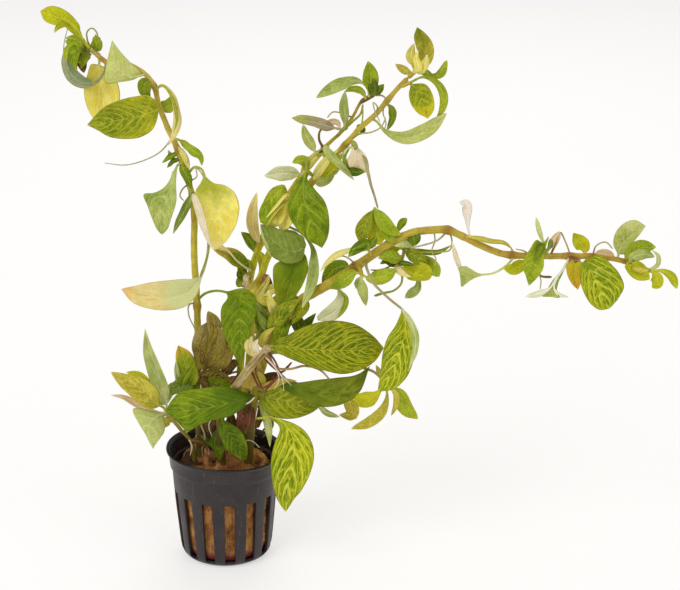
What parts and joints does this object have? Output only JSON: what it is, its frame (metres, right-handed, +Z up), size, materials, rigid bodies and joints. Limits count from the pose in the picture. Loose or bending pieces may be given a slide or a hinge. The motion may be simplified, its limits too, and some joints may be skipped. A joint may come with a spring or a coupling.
{
  "type": "potted aquarium plant",
  "caption": "Potted ludwigia: arching stems with veined oval leaves, green to yellow, rooted in a rockwool plug inside a slotted black net pot.",
  "frame": {"origin": "middle of the pot's flat foot, on the surface it stands on", "axes": "+Z up along the pot's axis, -Y towards the viewer of the picture, +X to the viewer's right, towards the long right stem"},
  "size_m": [0.2816, 0.0636, 0.2585],
  "materials": {
    "pot": "thin soft moulded plastic, dull black",
    "rockwool": "wet brown mineral wool, matt and fibrous",
    "stem": "smooth olive to tan plant stem",
    "dry_stem": "dry striped tan stem",
    "leaf_brown": "brown wrinkled dead leaf",
    "leaf_deep": "deep green leaf",
    "leaf_green": "green leaf with yellow veins",
    "leaf_olive": "olive leaf",
    "leaf_pale": "pale grey-green underside",
    "leaf_tan": "yellowed tan leaf",
    "leaf_yellow": "yellow-green leaf with pale veins"
  },
  "bodies": {
    "root": {"bud_left_tip": "leaf_deep", "dry_stem": "dry_stem", "leaf_centre_back": "leaf_deep", "leaf_centre_variegated": "leaf_green", "leaf_centre_veined": "leaf_green", "leaf_front_variegated": "leaf_yellow", "leaf_front_veined": "leaf_yellow", "leaf_left_broad": "leaf_deep", "leaf_left_cupped": "leaf_pale", "leaf_left_hanging": "leaf_green", "leaf_left_long": "leaf_olive", "leaf_left_pale": "leaf_pale", "leaf_left_round": "leaf_yellow", "leaf_left_tan": "leaf_tan", "leaf_left_tip": "leaf_yellow", "leaf_left_veined": "leaf_green", "leaf_left_wrinkled": "leaf_brown", "leaf_left_yellow": "leaf_yellow", "leaf_low_back": "leaf_yellow", "leaf_low_broad": "leaf_green", "leaf_low_olive": "leaf_olive", "leaf_low_pale": "leaf_pale", "leaf_low_upright": "leaf_pale", "leaf_middle_bright": "leaf_yellow", "leaf_middle_curled": "leaf_green", "leaf_middle_dark": "leaf_deep", "leaf_middle_fork": "leaf_pale", "leaf_middle_green": "leaf_green", "leaf_middle_grey": "leaf_pale", "leaf_middle_pink": "leaf_tan", "leaf_middle_strip": "leaf_pale", "leaf_pot_green": "leaf_green", "leaf_right_flared": "leaf_pale", "leaf_right_green": "leaf_green", "leaf_right_grey": "leaf_pale", "leaf_right_orange": "leaf_yellow", "leaf_right_strand": "leaf_olive", "leaf_right_triangle": "leaf_pale", "leaf_right_veined": "leaf_green", "leaf_tip_hanging": "leaf_yellow", "leaf_tip_olive": "leaf_olive", "leaf_upper_left": "leaf_tan", "leaf_upper_long": "leaf_green", "leaf_upper_olive": "leaf_olive", "leaf_upper_pale": "leaf_pale", "leaf_upper_tan": "leaf_tan", "leaves_front_tip": "leaf_olive", "leaves_middle_low": "leaf_green", "leaves_right_below": "leaf_green", "leaves_right_cluster": "leaf_green", "leaves_right_crown": "leaf_green", "leaves_right_tip": "leaf_green", "leaves_twig": "leaf_green", "pot": "pot", "rockwool": "rockwool", "stem_back": "stem", "stem_left": "stem", "stem_low_left": "stem", "stem_middle": "stem", "stem_right": "stem"}
  },
  "joints": []
}
